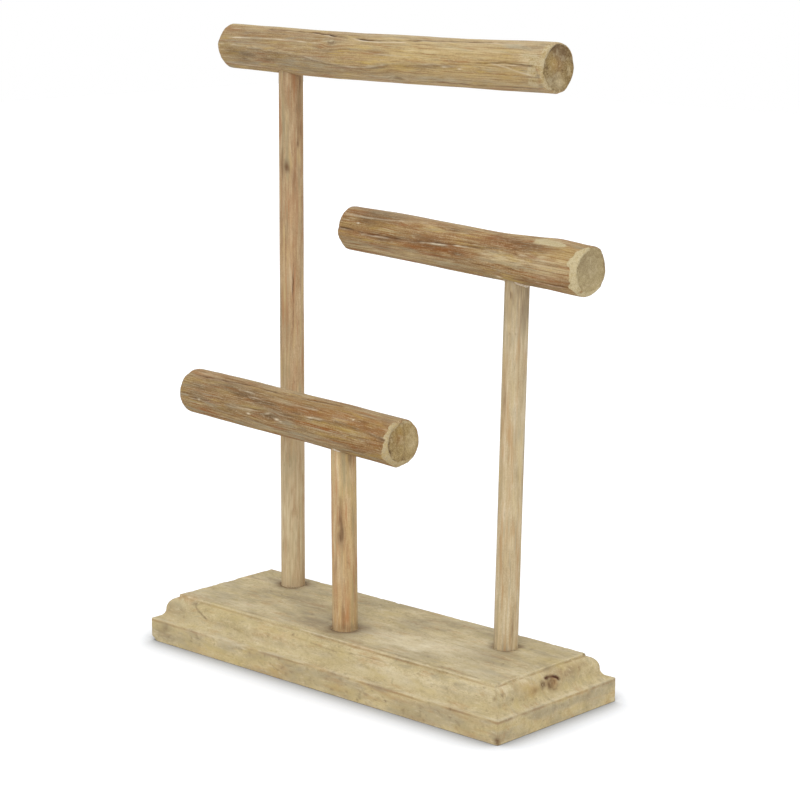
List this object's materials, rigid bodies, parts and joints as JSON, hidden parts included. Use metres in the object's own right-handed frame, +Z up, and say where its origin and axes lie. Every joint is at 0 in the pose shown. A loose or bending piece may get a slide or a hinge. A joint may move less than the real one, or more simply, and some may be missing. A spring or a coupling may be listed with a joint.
{
  "type": "jewelry holder",
  "caption": "Free-standing wooden jewelry holder: a moulded board with dowel posts of stepped heights, each topped by a peeled branch as a hanging bar.",
  "frame": {"origin": "middle of the base board's underside", "axes": "+X along the base to the end that the middle post stands near, +Y to the back, +Z up"},
  "size_m": [0.2479, 0.0896, 0.3214],
  "materials": {
    "board_wood": "bare, sanded, weathered",
    "dowel_wood": "bare, sanded",
    "branch_wood": "bare, peeled branch"
  },
  "bodies": {
    "root": {"base_board": "board_wood", "tall_post": "dowel_wood", "middle_post": "dowel_wood", "short_post": "dowel_wood", "top_bar": "branch_wood", "middle_bar": "branch_wood", "lower_bar": "branch_wood"}
  },
  "joints": []
}
